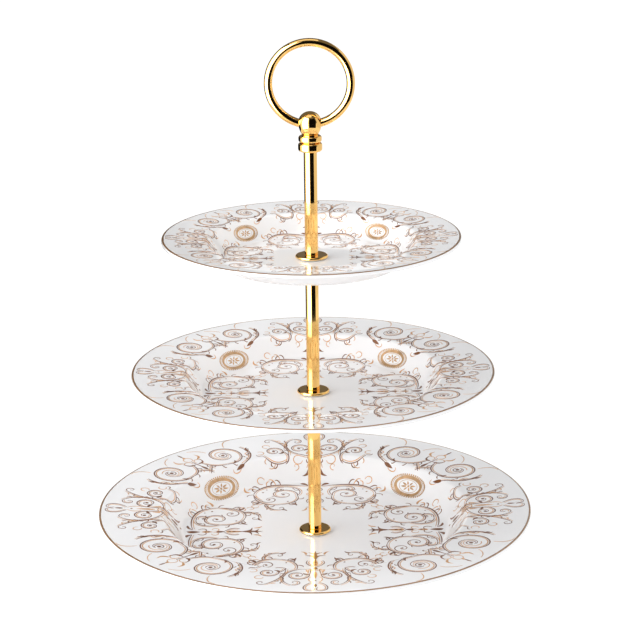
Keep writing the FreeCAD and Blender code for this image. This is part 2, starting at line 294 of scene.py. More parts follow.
def reach_of(node):
    """Radius of a round CAD node."""
    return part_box(node)[1].x


# ---------------------------------------------------------------- modelling

def deselect_everything():
    """Leave nothing selected, so that the next operator acts only on the new piece."""
    bpy.ops.object.select_all(action="DESELECT")


def pick(piece):
    """Select one piece and make it active."""
    deselect_everything()
    piece.select_set(True)
    bpy.context.view_layer.objects.active = piece


def start_point(name, place):
    """A new piece of one vertex at a place, left in edit mode."""
    deselect_everything()
    bpy.ops.mesh.primitive_plane_add(size=MM)
    piece = bpy.context.object
    piece.name = piece.data.name = name
    bpy.ops.object.mode_set(mode="EDIT")
    bpy.ops.mesh.select_all(action="SELECT")
    bpy.ops.mesh.merge(type="CENTER")
    bpy.ops.transform.translate(value=place)
    return piece


def draw_on(points):
    """Extrude the selected vertex from point to point of an outline."""
    for here, onward in zip(points, points[1:]):
        step = (onward[0] - here[0], 0, onward[1] - here[1])
        bpy.ops.mesh.extrude_region_move(TRANSFORM_OT_translate={"value": step})


def close_up(merge=MERGE):
    """Merge doubles and turn every face outwards, then leave edit mode."""
    bpy.ops.mesh.select_all(action="SELECT")
    bpy.ops.mesh.remove_doubles(threshold=merge)
    bpy.ops.mesh.select_all(action="SELECT")
    bpy.ops.mesh.delete_loose(use_verts=True, use_edges=True, use_faces=False)
    bpy.ops.mesh.select_all(action="SELECT")
    bpy.ops.mesh.normals_make_consistent(inside=False)
    bpy.ops.object.mode_set(mode="OBJECT")
    bpy.ops.object.shade_smooth_by_angle(angle=SMOOTH_BELOW)


def turned_piece(name, outline, steps):
    """A closed round solid, as on a lathe: an outline of (radius, height) spun about the axis."""
    loop = outline + outline[:1]
    piece = start_point(name, (loop[0][0], 0, loop[0][1]))
    draw_on(loop)
    bpy.ops.mesh.select_all(action="SELECT")
    bpy.ops.mesh.spin(steps=steps, angle=2 * math.pi, center=(0, 0, 0), axis=(0, 0, 1))
    close_up()
    return piece


def copied(piece, name, rise):
    """A copy with its own mesh, lifted by a height."""
    twin = piece.copy()
    twin.data = piece.data.copy()
    twin.name = twin.data.name = name
    bpy.context.scene.collection.objects.link(twin)
    pick(twin)
    bpy.ops.object.mode_set(mode="EDIT")
    bpy.ops.mesh.select_all(action="SELECT")
    bpy.ops.transform.translate(value=(0, 0, rise))
    bpy.ops.object.mode_set(mode="OBJECT")
    return twin


def applied(piece, kind, **options):
    """Add a modifier to a piece and apply it."""
    pick(piece)
    modifier = piece.modifiers.new(kind.title(), kind)
    for name, option in options.items():
        setattr(modifier, name, option)
    bpy.ops.object.modifier_apply(modifier=modifier.name)


def placed(piece, body, slot, material, *nodes):
    """Give a finished piece its material and body, and hide the CAD nodes that it stands for. Its slot is
    not used.
    """
    piece.data.materials.clear()
    piece.data.materials.append(material)
    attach(piece, body)
    if nodes:
        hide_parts(*nodes)
    return piece


# ---------------------------------------------------------------- materials

def linear(code):
    """An sRGB hex colour as linear RGBA."""
    channels = [int(code[i:i + 2], 16) / 255 for i in (1, 3, 5)]
    return tuple(c / 12.92 if c <= 0.04045 else ((c + 0.055) / 1.055) ** 2.4 for c in channels) + (1.0,)


def add_node(tree, kind, inputs=None, links=None, **options):
    """Add a node with its options, the values of its inputs and the sockets linked to them."""
    node = tree.nodes.new(kind)
    for name, option in options.items():
        setattr(node, name, option)
    for name, number in (inputs or {}).items():
        node.inputs[name].default_value = number
    for name, socket in (links or {}).items():
        tree.links.new(socket, node.inputs[name])
    return node


def new_material(name):
    """An empty node material: its tree, and its output still to be linked."""
    material = bpy.data.materials.new(name)
    material.use_nodes = True
    material.node_tree.nodes.clear()
    return material, material.node_tree


def mottled(tree, size, low, high, detail=3.0, stretch=(1, 1, 1)):
    """A number that wanders between two values over the surface, with patches of a size in metres."""
    place = add_node(tree, "ShaderNodeTexCoord").outputs["Object"]
    drawn_out = add_node(tree, "ShaderNodeMapping", {"Scale": stretch}, {"Vector": place})
    noise = add_node(tree, "ShaderNodeTexNoise", {"Scale": 1.0 / size, "Detail": detail},
                     {"Vector": drawn_out.outputs[0]})
    spread = add_node(tree, "ShaderNodeMapRange",
                      {"From Min": 0.3, "From Max": 0.7, "To Min": low, "To Max": high},
                      {"Value": noise.outputs["Fac"]})
    return spread.outputs[0]


def clouded(tree, tone, low, high, size, detail=3.0):
    """A tone that wanders between a darker and a lighter shade, with patches of a size in metres."""
    darker, lighter = (tuple(c * shade for c in tone[:3]) + (1.0,) for shade in (low, high))
    patches = mottled(tree, size, 0.0, 1.0, detail)
    mix = add_node(tree, "ShaderNodeMix", {6: darker, 7: lighter}, {0: patches}, data_type="RGBA")
    return mix.outputs[2]


def glazed_porcelain():
    """Hard porcelain, slip cast and dipped in clear glaze, fired glossy: a white body under a glassy
    coat. The body's white clouds a little, and the glaze lies in very shallow, slow waves."""
    finish = settings().finish
    material, tree = new_material("glazed_porcelain")
    white = clouded(tree, linear(finish.glaze), 0.975, 1.0, 40 * MM)
    waves = mottled(tree, 18 * MM, 0.0, 1.0, detail=1.0)
    bump = add_node(tree, "ShaderNodeBump", {"Strength": 0.25, "Distance": 0.02 * MM}, {"Height": waves})
    shader = add_node(
        tree, "ShaderNodeBsdfPrincipled",
        {"Roughness": 0.35, "Specular IOR Level": 0.2, "Coat Weight": 1.0, "Coat IOR": 1.5,
         "Coat Roughness": finish.glaze_gloss},
        {"Base Color": white, "Coat Normal": bump.outputs[0]})
    add_node(tree, "ShaderNodeOutputMaterial", links={"Surface": shader.outputs[0]})
    return material


def bare_biscuit():
    """The foot ring's unglazed edge, wiped clean before firing: matt, warm grey and finely gritty."""
    material, tree = new_material("bare_biscuit_porcelain")
    grain = 0.6 * MM
    grit = mottled(tree, grain, 0.0, 1.0, detail=4.0)
    bump = add_node(tree, "ShaderNodeBump", {"Strength": 0.5, "Distance": 0.05 * MM}, {"Height": grit})
    grey = clouded(tree, linear(settings().finish.biscuit), 0.85, 1.0, grain, detail=4.0)
    shader = add_node(tree, "ShaderNodeBsdfPrincipled", {"Roughness": 0.85},
                      {"Base Color": grey, "Normal": bump.outputs[0]})
    add_node(tree, "ShaderNodeOutputMaterial", links={"Surface": shader.outputs[0]})
    return material


def fired_enamel(name, code, patch, gold_share):
    """An on-glaze transfer print, fired on: its colour lies unevenly, and a little gold in it shines.
    It carries the same glassy gloss as the glaze round it."""
    material, tree = new_material(name)
    colour = clouded(tree, linear(code), 0.72, 1.12, patch, detail=4.0)
    shader = add_node(
        tree, "ShaderNodeBsdfPrincipled",
        {"Metallic": gold_share, "Roughness": 0.3, "Coat Weight": 1.0, "Coat Roughness": 0.05},
        {"Base Color": colour})
    add_node(tree, "ShaderNodeOutputMaterial", links={"Surface": shader.outputs[0]})
    return material


def sepia_enamel():
    """The main scrolls, printed in sepia."""
    return fired_enamel("fired_sepia_enamel", settings().finish.dark_line, 5 * MM, 0.0)


def tan_enamel():
    """The echo lines, printed in tan with some gold."""
    return fired_enamel("fired_tan_enamel", settings().finish.pale_line, 4 * MM, 0.15)


def burnished_gold():
    """The medallions, in gold that is fired matt and rubbed bright."""
    return fired_enamel("burnished_fired_gold", settings().finish.medallion, 3 * MM, 0.4)


def edge_enamel():
    """The line round the rim, banded by hand in brown gold."""
    return fired_enamel("banded_brown_gold", settings().finish.edge_line, 8 * MM, 0.15)


def polished_plating(name, streak):
    """Gold plate on buffed brass: a mirror, with the faint drawn streaks that buffing leaves."""
    finish = settings().finish
    material, tree = new_material(name)
    gold = clouded(tree, linear(finish.gold), 0.96, 1.0, 12 * MM)
    haze = mottled(tree, 6 * MM, finish.gold_gloss * 0.8, finish.gold_gloss * 1.4)
    # Real buffing marks are a few hundredths of a millimetre wide. These are coarser, so they show.
    streaks = mottled(tree, 0.5 * MM, 0.0, 1.0, detail=2.0, stretch=streak)
    bump = add_node(tree, "ShaderNodeBump", {"Strength": 0.02, "Distance": 0.01 * MM}, {"Height": streaks})
    shader = add_node(tree, "ShaderNodeBsdfPrincipled", {"Metallic": 1.0},
                      {"Base Color": gold, "Roughness": haze, "Normal": bump.outputs[0]})
    add_node(tree, "ShaderNodeOutputMaterial", links={"Surface": shader.outputs[0]})
    return material


def drawn_gold():
    """Plating on the rods and studs, with its streaks along their length."""
    return polished_plating("gold_plate_drawn_lengthways", (1, 1, 0.02))


def spun_gold():
    """Plating on the discs, beads and ring, buffed on a wheel."""
    return polished_plating("gold_plate_wheel_buffed", (1, 1, 1))


def clear_silicone():
    """A soft washer of milky silicone: satin, and slightly see-through."""
    material, tree = new_material("clear_silicone")
    cloud = mottled(tree, 2 * MM, 0.3, 0.45)
    shader = add_node(tree, "ShaderNodeBsdfPrincipled",
                      {"Base Color": linear(settings().finish.washer), "IOR": 1.41,
                       "Transmission Weight": 0.35}, {"Roughness": cloud})
    add_node(tree, "ShaderNodeOutputMaterial", links={"Surface": shader.outputs[0]})
    return material


def shared(make):
    """The material that a function makes, made only once."""
    kept = shared.made.get(make)
    if kept is None:
        kept = shared.made[make] = make()
    return kept


shared.made = {}


# ---------------------------------------------------------------- porcelain

def plate_section(tier):
    """A plate's section: corners (radius, height, rounding) from the hole over the top and back below."""
    sizes = settings().sizes
    shape = getattr(sizes, tier)
    node = f"plate_{tier}"
    base = bottom(node)
    outer = reach_of(node)
    under = base + shape.recess
    floor = under + sizes.floor_thickness
    shoulder = shape.well_radius + shape.wall_run
    shoulder_top = floor + shape.wall_rise
    rim_top = shoulder_top + sizes.rim_rise
    foot = shape.well_radius - shape.foot_inset
    root = sizes.foot_width / 2
    tread = root - sizes.foot_taper
    foot_round = sizes.foot_taper
    return [
        (sizes.plate_hole, floor),
        (shape.well_radius, floor, sizes.well_fillet),
        (shoulder, shoulder_top, sizes.shoulder_fillet),
        (outer, rim_top, sizes.lip_round),
        (outer, rim_top - sizes.edge_thickness, sizes.lip_round),
        (shoulder + sizes.wall_shift, shoulder_top - sizes.rim_thickness, sizes.shoulder_fillet),
        (shape.well_radius + sizes.wall_shift, under, sizes.under_fillet),
        (foot + root, under),
        (foot + tread, base, foot_round),
        (foot - tread, base, foot_round),
        (foot - root, under),
        (sizes.plate_hole, under),
    ]


def build_plate(tier):
    """A plate: a flat well, a steep wall, a wide rim and an unglazed edge on its foot ring."""
    node = f"plate_{tier}"
    piece = turned_piece(f"{tier}_plate", rounded(plate_section(tier)), settings().sizes.round_steps)
    if abs(max(v.co.x for v in piece.data.vertices) - reach_of(node)) > SLACK:
        raise RuntimeError(f"{piece.name} isn't as wide as {node}")
    placed(piece, TIER_BODIES[tier], "porcelain", shared(glazed_porcelain), node)
    piece.data.materials.append(shared(bare_biscuit))
    wiped = bottom(node) + settings().sizes.foot_taper
    for face in piece.data.polygons:
        if max(piece.data.vertices[i].co.z for i in face.vertices) < wiped + MERGE:
            face.material_index = 1


# ---------------------------------------------------------------- stem

def build_washers():
    """The six soft washers, one shape in six places."""
    nodes = [f"{tier}_{side}_gasket" for tier in TIERS for side in ("under", "top")]
    rounding = settings().sizes.washer_round
    make_rings(nodes, "washer", "soft_washer", clear_silicone, rounding, rounding)


def build_discs():
    """The six gold-plated discs, one shape in six places."""
    nodes = [f"{tier}_{side}_disc" for tier in TIERS for side in ("under", "top")]
    sizes = settings().sizes
    make_rings(nodes, "gilt_disc", "gold_plate", spun_gold, sizes.disc_arris, sizes.disc_round)


def make_rings(nodes, kind, slot, make, low_round, high_round):
    """Flat rings of one shape that stand for several CAD nodes."""
    sizes = settings().sizes
    hole = sizes.thread_radius + sizes.bore_clearance
    first = nodes[0]
    low = bottom(first)
    high = top(first)
    outer = reach_of(first)
    corners = [(hole, low), (outer, low, low_round), (outer, high, high_round), (hole, high)]
    pattern = turned_piece(first.rsplit("_", 1)[0] + "_" + kind, rounded(corners), sizes.turned_steps)
    pieces = [pattern]
    for node in nodes[1:]:
        pieces.append(copied(pattern, node.rsplit("_", 1)[0] + "_" + kind, bottom(node) - low))
    for piece, node in zip(pieces, nodes):
        placed(piece, "stem", slot, shared(make), node)


def build_rods():
    """The three rods, each with a blind bore in both ends."""
    sizes = settings().sizes
    hole = sizes.thread_radius + sizes.bore_clearance
    for node in ("lower_rod", "middle_rod", "upper_rod"):
        low = bottom(node)
        high = top(node)
        outer = reach_of(node)
        corners = [
            (hole, low), (outer, low, sizes.end_round), (outer, high, sizes.end_round), (hole, high),
            (hole, high - sizes.bore_depth), (0.0, high - sizes.bore_depth),
            (0.0, low + sizes.bore_depth), (hole, low + sizes.bore_depth),
        ]
        piece = turned_piece(node + "_tube", rounded(corners), sizes.turned_steps)
        placed(piece, "stem", "gold_plate", shared(drawn_gold), node)


def threaded_stud(name, low, high):
    """A stud with a real thread: one tooth's outline wound up the axis, then cut to length."""
    sizes = settings().sizes
    pitch = sizes.thread_pitch
    crest = sizes.thread_radius
    root = crest - THREAD_DEPTH * pitch
    tooth = [(root, 0.0), (root, 0.12), (crest, 0.44), (crest, 0.56), (root, 0.88), (root, 1.0)]
    start = low - 1.37 * pitch  # so that no ridge starts exactly on a cut
    outline = [(radius, start + part_of_turn * pitch) for radius, part_of_turn in tooth]
    piece = start_point(name, (outline[0][0], 0, outline[0][1]))
    draw_on(outline)
    bpy.ops.object.mode_set(mode="OBJECT")
    turns = math.ceil((high - low) / pitch) + 4
    steps = sizes.thread_steps
    applied(piece, "SCREW", angle=2 * math.pi, screw_offset=pitch, iterations=turns, steps=steps,
            render_steps=steps)
    pick(piece)
    bpy.ops.object.mode_set(mode="EDIT")
    bpy.ops.mesh.select_all(action="SELECT")
    bpy.ops.mesh.remove_doubles(threshold=MERGE)
    fine = 0.1 * MERGE
    for height, side in ((low, "clear_inner"), (high, "clear_outer")):
        bpy.ops.mesh.select_all(action="SELECT")
        bpy.ops.mesh.bisect(plane_co=(0, 0, height), plane_no=(0, 0, 1), use_fill=True, threshold=fine,
                            **{side: True})
    close_up(fine)
    return piece


def build_studs():
    """The two studs inside the stem and the one that the handle turns on."""
    low = bottom("lower_stud")
    lower = threaded_stud("lower_threaded_stud", low, top("lower_stud"))
    middle = copied(lower, "middle_threaded_stud", bottom("middle_stud") - low)
    last = threaded_stud("top_threaded_stud", bottom("top_stud"), top("top_stud"))
    placed(lower, "stem", "gold_plate", shared(drawn_gold), "lower_stud")
    placed(middle, "stem", "gold_plate", shared(drawn_gold), "middle_stud")
    placed(last, "handle_thread", "gold_plate", shared(drawn_gold), "top_stud")


def finish_screw():
    """The slotted screw keeps its own shape and takes the plating."""
    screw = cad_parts["base_screw"]
    screw.data.materials.clear()
    screw.data.materials.append(shared(spun_gold))


# ---------------------------------------------------------------- handle

def knob_outline():
    """The handle's base: two beads, a neck and an egg-shaped ball, bored from below."""
    sizes = settings().sizes
    base = bottom("handle_knob")
    outer = reach_of("handle_knob")
    slim = outer - sizes.upper_bead_inset
    hole = sizes.thread_radius + sizes.bore_clearance
    upper = base + sizes.lower_bead + sizes.bead_gap
    neck = upper + sizes.upper_bead
    centre = neck + sizes.ball_height
    corners = [
        (0.0, base + sizes.bore_depth), (hole, base + sizes.bore_depth), (hole, base),
        (outer, base, sizes.bead_round), (outer, base + sizes.lower_bead, sizes.bead_round),
        (sizes.neck_radius, base + sizes.lower_bead), (sizes.neck_radius, upper),
        (slim, upper, sizes.bead_round), (slim, neck, sizes.bead_round), (sizes.neck_radius, neck),
    ]
    points = rounded(corners)
    starts = -math.acos(sizes.neck_radius / sizes.ball_radius)
    for i in range(BALL_STEPS + 1):
        latitude = starts + (math.pi / 2 - starts) * i / BALL_STEPS
        depth = sizes.ball_tail if latitude < 0 else sizes.ball_crown
        points.append((sizes.ball_radius * math.cos(latitude), centre + depth * math.sin(latitude)))
    return points


def bent_wire(name, radius):
    """A round wire bent into the carrying ring, open by the web at its foot, with closed ends."""
    sizes = settings().sizes
    low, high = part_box("handle_ring")
    bend = high.x - sizes.wire_radius
    middle = high.z - high.x
    foot = (bend * math.sin(sizes.ring_web), 0, middle - bend * math.cos(sizes.ring_web))
    deselect_everything()
    bpy.ops.mesh.primitive_circle_add(vertices=sizes.wire_steps, radius=radius, fill_type="NGON",
                                      location=foot, rotation=(0, math.pi / 2 - sizes.ring_web, 0))
    wire = bpy.context.object
    wire.name = wire.data.name = name
    bpy.ops.object.transform_apply()
    bpy.ops.object.mode_set(mode="EDIT")
    bpy.ops.mesh.select_all(action="SELECT")
    bpy.ops.mesh.spin(steps=sizes.bend_steps, angle=2 * math.pi - 2 * sizes.ring_web,
                      center=(0, 0, middle), axis=(0, 1, 0))
    close_up()
    return wire


def build_knob():
    """The ball and beads, with the sockets for the carrying ring cut by the ring's own path."""
    sizes = settings().sizes
    knob = turned_piece("handle_ball_and_beads", knob_outline(), sizes.turned_steps)
    cutter = bent_wire("socket_cutter", sizes.wire_radius + sizes.socket_clearance)
    applied(knob, "BOOLEAN", operation="DIFFERENCE", object=cutter, solver="EXACT")
    bpy.data.objects.remove(cutter)
    pick(knob)
    bpy.ops.object.mode_set(mode="EDIT")
    close_up()
    placed(knob, "handle", "gold_plate", shared(spun_gold), "handle_knob")


def build_ring():
    """The carrying ring, whose ends sit in the ball."""
    ring = bent_wire("carrying_ring", settings().sizes.wire_radius)
    placed(ring, "handle", "gold_plate", shared(spun_gold), "handle_ring")


# ---------------------------------------------------------------- ornament
#
# A stroke is a list of (u, v, half width) in millimetres on the large plate, measured over the
# surface as a flat transfer print is: u runs from the axis to the rim and v sideways.

DESIGN_RUN = 141.5  # the whole surface of the large plate, from its axis to its lip
WALL_RUN = (73.0, 103.0)  # the part of it that is curved: the wall and the bends at its foot and top
STEP_ON_WALL = 1.0  # the longest step of a stroke there
STEP_ELSEWHERE = 3.0
LINE_STEP = 0.002 * MM  # between the heights of lines that may cross
LEVELS = 9
BOW_STEPS = 14
STEPS_A_TURN = 22
ECHO_GAP = 1.3  # between a line's middle and its echo's
# How a hook curls, in parts of its size along its stroke and out from it.
HOOK_CURL = ((0.0, 0.55), (0.35, 1.05), (0.8, 0.8))


def even_steps(steps):
    """Numbers from 0 to 1 in even steps."""
    return [i / steps for i in range(steps + 1)]


def around(centre, radius, bearing):
    """The place at a radius and a bearing in radians from a centre."""
    return centre[0] + radius * math.cos(bearing), centre[1] + radius * math.sin(bearing)


def swell(t, fat, thin):
    """Half width along a stroke: thin at both ends and fat in the middle."""
    return thin + (fat - thin) * math.sin(math.pi * t) ** 0.7


def bow(start, leave, arrive, end, fat=0.36, thin=0.16):
    """A curved line from start to end, which leaves towards one point and arrives from another."""
    stroke = []
    for t in even_steps(BOW_STEPS):
        left = 1 - t
        weights = (left**3, 3 * left * left * t, 3 * left * t * t, t**3)
        u, v = (sum(w * p[k] for w, p in zip(weights, (start, leave, arrive, end))) for k in (0, 1))
        stroke.append((u, v, swell(t, fat, thin)))
    return stroke


def volute(centre, radius, start, turns, fat=0.38, eye=0.14, hand=1):
    """A spiral that winds inwards from an angle in degrees to its eye."""
    stroke = []
    for t in even_steps(int(STEPS_A_TURN * turns) + 4):
        reach = radius * (eye + (1 - eye) * (1 - t))
        bearing = math.radians(start) + hand * 2 * math.pi * turns * t
        half = fat * (0.55 + 0.45 * math.sin(math.pi * min(1.0, 0.3 + t)))
        stroke.append((*around(centre, reach, bearing), half))
    return stroke


def leaf(base, tip, width, lean=0.0):
    """A pointed leaf from base to tip that leans to one side."""
    du, dv = tip[0] - base[0], tip[1] - base[1]
    stroke = []
    for t in even_steps(7):
        side = lean * math.sin(math.pi * t)
        half = width * math.sin(math.pi * t**0.75) ** 0.9 + 0.04
        stroke.append((base[0] + du * t - dv * side, base[1] + dv * t + du * side, half))
    return stroke


def dot(centre, radius):
    """A round spot."""
    bearings = [math.pi * t for t in even_steps(6)]
    return [(centre[0] - radius * math.cos(a), centre[1], radius * math.sin(a) + 0.01) for a in bearings]


def hoop(centre, radius, start, end, fat=0.32, thin=0.18):
    """Part of a ring between two angles in degrees."""
    steps = max(6, int(abs(end - start) / 18))
    stroke = []
    for t in even_steps(steps):
        bearing = math.radians(start + (end - start) * t)
        stroke.append((*around(centre, radius, bearing), swell(t, fat, thin)))
    return stroke


def heading(stroke, i):
    """Direction of a stroke at one of its points."""
    before, after = stroke[max(0, i - 1)], stroke[min(len(stroke) - 1, i + 1)]
    du, dv = after[0] - before[0], after[1] - before[1]
    reach = math.hypot(du, dv) or 1.0
    return du / reach, dv / reach


def echo(stroke, side, part=1.0, half=0.34):
    """A pale line close beside the first part of a stroke, on its left for a side of 1."""
    gap = ECHO_GAP * side
    kept = max(4, int(len(stroke) * part))
    line = []
    for i, (u, v, _) in enumerate(stroke[:kept]):
        du, dv = heading(stroke, i)
        line.append((u - dv * gap, v + du * gap, swell(i / (kept - 1), half, 0.18)))
    return line


def hooks(stroke, places, size, side, fat=0.4):
    """Small curled tendrils that grow from a stroke, on its left for a side of 1."""
    grown = []
    for n, place in enumerate(places):
        i = round(place * (len(stroke) - 1))
        du, dv = heading(stroke, i)
        reach = size * (0.75 if n % 2 else 1.0)
        ahead = -1 if n % 2 else 1
        u, v = stroke[i][:2]
        steps = []
        for along, out in HOOK_CURL:
            along *= ahead * reach
            out *= side * reach
            steps.append((u + du * along - dv * out, v + dv * along + du * out))
        grown.append(bow((u, v), *steps, fat, 0.12))
    return grown


def well_cartouche():
    """One of the pair of C-scrolls on the well's floor, with its spirals, leaves and tendril."""
    brow = bow((77, 4.4), (81.4, 22), (76, 40), (62, 40), 0.46)
    back = bow((62, 40), (50, 40), (42, 32), (44.5, 22), 0.46)
    foot = bow((44.5, 22), (46, 13.6), (53, 9), (60.4, 11.4), 0.42)
    spiral = volute((62.4, 20.6), 9.4, -102, 1.5)
    branch = bow((60.4, 11.4), (68, 7), (76.6, 11.6), (75.6, 20.5))
    hook = volute((71, 22.4), 4.9, -24, 1.1, 0.32)
    link = bow((62, 40), (58, 39.4), (54, 37.6), (51.5, 34.7))
    counter = volute((53.4, 29.6), 5.4, 110, 1.25, 0.32)
    tendril = bow((45.8, 31), (40, 32), (35, 28), (35.8, 22), 0.34)
    curl = volute((38.4, 22), 2.6, 180, 0.9, 0.28)
    dark = [brow, back, foot, spiral, branch, hook, link, counter, tendril, curl]
    dark += hooks(brow, (0.35, 0.5, 0.68, 0.86, 1.0), 4.6, -1)
    dark += hooks(back, (0.25, 0.45, 0.62, 0.85), 4.8, -1)
    dark += hooks(foot, (0.2, 0.42, 0.7), 3.8, -1)
    dark += hooks(branch, (0.4, 0.72), 3.0, 1, 0.34)
    dark += hooks(tendril, (0.4, 0.7), 2.8, -1, 0.32)
    dark += hooks(spiral, (0.24, 0.4), 2.4, -1, 0.32)
    dark += [leaf((80.4, 9.6), (76.8, 4.2), 0.9, 0.2), leaf((49.4, 36), (45.6, 40.6), 0.9, 0.2),
             leaf((46.4, 15.4), (42.6, 11.6), 0.8, 0.2), leaf((35.8, 22), (33.6, 17.8), 0.6, 0.2)]
    dark += [dot((62.4, 20.6), 1.0), dot((53.4, 29.6), 0.8), dot((71, 22.4), 0.7), dot((66, 34), 0.7),
             dot((70.6, 31.6), 0.5), dot((50, 17.6), 0.6)]
    pale = [echo(brow, 1), echo(back, 1), echo(foot, 1), echo(spiral, 1, 0.6), echo(branch, -1),
            echo(tendril, -1), echo(link, 1), echo(hook, 1, 0.6)]
    pale += hooks(brow, (0.42, 0.6, 0.78), 5.4, -1, 0.36)
    pale += hooks(back, (0.35, 0.55, 0.75), 5.8, -1, 0.36)
    pale += [hoop((78.6, 36), 2.5, -60, 220), hoop((41.6, 38.6), 2.2, 0, 280),
             leaf((66, 42), (70.6, 46.4), 0.8, 0.3)]
    return dark, pale


def well_stem():
    """What stands between the two C-scrolls: buds, a diamond and a fan of leaves."""
    dark = [leaf((80.6, 0), (72, 0), 1.7), leaf((62, 0), (56.6, 0), 1.3), dot((66.5, 0), 0.8),
            dot((53.6, 0), 0.8), leaf((52, 0), (49.2, 0), 0.8), leaf((50, 0), (42, 0), 0.4),
            leaf((43.5, 0), (33, 0), 1.0)]
    pale = [leaf((71, 0), (64, 0), 1.4), leaf((56, 0), (45, 0), 1.5)]
    fork = bow((69, 0.5), (66.4, 4), (70.4, 6.6), (73.4, 3.6), 0.32)
    prong = bow((57, 0.6), (54, 5), (50.4, 6.8), (47.4, 4.4), 0.32)
    dark += mirrored([leaf((43.6, 0.4), (35, 4.2), 0.8, 0.28), leaf((45.6, 0.4), (39.6, 6.2), 0.7, 0.3),
                      fork, prong])
    pale += mirrored([hoop((62.6, 3.2), 2.2, 0, 300), echo(prong, 1),
                      leaf((38.6, 5.6), (33.4, 8.6), 0.7, 0.2)])
    return dark, pale


def rim_fingers():
    """One side of the crest on the rim: two spirals, a finger loop and half of the finial."""
    arm = bow((92, 4.2), (97, 2.4), (104, 2.2), (110.7, 3.6), 0.42)
    spiral = volute((112, 11), 7.5, -100, 1.5)
    finger = bow((101, 3), (101, 20), (121, 25), (127.6, 14.6))
    nail = volute((123.6, 12.6), 4.4, 25, 1.0, 0.3, hand=-1)
    stem = bow((94, 20), (96.6, 17), (102.4, 17.4), (107.2, 22.4), 0.4)
    second = volute((107, 29), 6.7, -88, 1.45)
    tail = bow((101, 18.4), (110, 17.6), (121, 23), (126.2, 31.4))
    tip = volute((123.4, 33), 3.3, -30, 1.0, 0.3)
    heel = bow((96.4, 18.8), (91, 25), (92.4, 33), (99.4, 37))
    finial = bow((124, 2.4), (129, 9.6), (138, 8.6), (137, 2))
    clasp = bow((137, 2), (136, 0.2), (133.6, 0.2), (132, 1.4), 0.3)
    dark = [arm, spiral, finger, nail, stem, second, tail, tip, heel, finial, clasp]
    dark += hooks(arm, (0.2, 0.5), 3.2, 1, 0.36)
    dark += hooks(finger, (0.4, 0.6, 0.8), 3.4, 1, 0.36)
    dark += hooks(tail, (0.5, 0.75), 3.6, -1, 0.36)
    dark += hooks(heel, (0.35, 0.6, 1.0), 3.8, 1)
    dark += [leaf((92, 4.2), (86.6, 8.4), 0.9, 0.25), leaf((107.2, 22.4), (103.4, 25.6), 0.9, 0.25),
             leaf((110.7, 3.6), (108.4, 7.6), 0.9, -0.2), dot((112, 11), 1.0), dot((107, 29), 1.0)]
    pale = [echo(arm, 1), echo(spiral, 1, 0.6), echo(finger, 1), echo(stem, 1), echo(second, 1, 0.6),
            echo(tail, -1), echo(heel, -1), echo(finial, -1), echo(nail, -1, 0.6)]
    pale += [bow((114.6, 2.6), (118, 5.4), (121.4, 4.4), (123.6, 1.8)), hoop((98, 11.6), 3.2, -40, 260),
             hoop((114.6, 34.4), 2.6, -90, 200), volute((93, 13), 2.8, 180, 0.9, 0.28)]
    pale += hooks(heel, (0.45, 0.8), 5.0, 1, 0.34)
    pale += hooks(tail, (0.6, 0.85), 4.6, -1, 0.34)
    return dark, pale


def rim_crest():
    """What stands in the middle of the crest on the rim."""
    dark = [leaf((87.6, 0), (94, 0), 1.7), dot((85, 0), 0.8), leaf((126.4, 0), (131.6, 0), 0.9),
            dot((121, 0), 0.7)]
    pale = [leaf((96, 0), (104, 0), 1.6), leaf((106, 0), (118, 0), 1.1), hoop((100.4, 0), 4.2, -150, 150)]
    pale += mirrored([leaf((97.4, 1.6), (108.4, 4.4), 0.8, 0.2)])
    return dark, pale


def rim_volute():
    """One of the two large spirals on a diagonal, with its bracket, leaves and tendrils."""
    eye = (115.4, 24)
    spiral = volute(eye, 15, -150, 1.6, 0.44, 0.18, hand=-1)
    arm = bow((117, 3.4), (109, 4.4), (103.6, 8.6), (102.4, 16.5), 0.46)
    cross = bow((107.4, 6.2), (105.6, 4), (103, 1.4), (100.2, -1.4), 0.4)
    bar = bow((109.6, 43), (104.6, 42), (98, 36), (96.8, 25.6), 0.5)
    twig = bow((104, 38), (107, 41.6), (112, 43.6), (118, 42.4), 0.34)
    dark = [spiral, arm, cross, bar, twig, dot(eye, 1.3), hoop(eye, 2.9, 30, 330, 0.34)]
    dark += hooks(arm, (0.3, 0.6, 0.8), 3.4, 1, 0.38)
    dark += hooks(bar, (0.3, 0.7), 3.2, 1, 0.38)
    dark += hooks(spiral, (0.02, 0.12), 3.0, 1, 0.36)
    dark += hooks(twig, (0.6,), 3.0, 1, 0.34)
    dark += [leaf((96.8, 27), (95.4, 18.8), 1.3), leaf((108, 42.6), (114.4, 46), 1.0, -0.2),
             leaf((101, 20.6), (104.6, 24.4), 0.9, 0.2)]
    pale = [echo(spiral, -1, 0.7, 0.4), echo(arm, -1), echo(bar, 1), echo(twig, 1), echo(cross, 1)]
    pale += [volute(eye, 6.4, 60, 0.9, 0.32, 0.6, hand=-1),
             bow((96.8, 17), (93.4, 14), (92.2, 20), (94.8, 22.6)),
             bow((124.6, 34), (130, 36), (133.6, 41), (131, 46)), hoop((100.4, 46), 2.5, 0, 260),
             bow((126, 18), (131, 17), (134.4, 13), (135.6, 8.6), 0.3)]
    pale += hooks(bar, (0.15, 0.5), 4.8, 1, 0.36)
    pale += hooks(arm, (0.45,), 4.6, 1, 0.36)
    return dark, pale


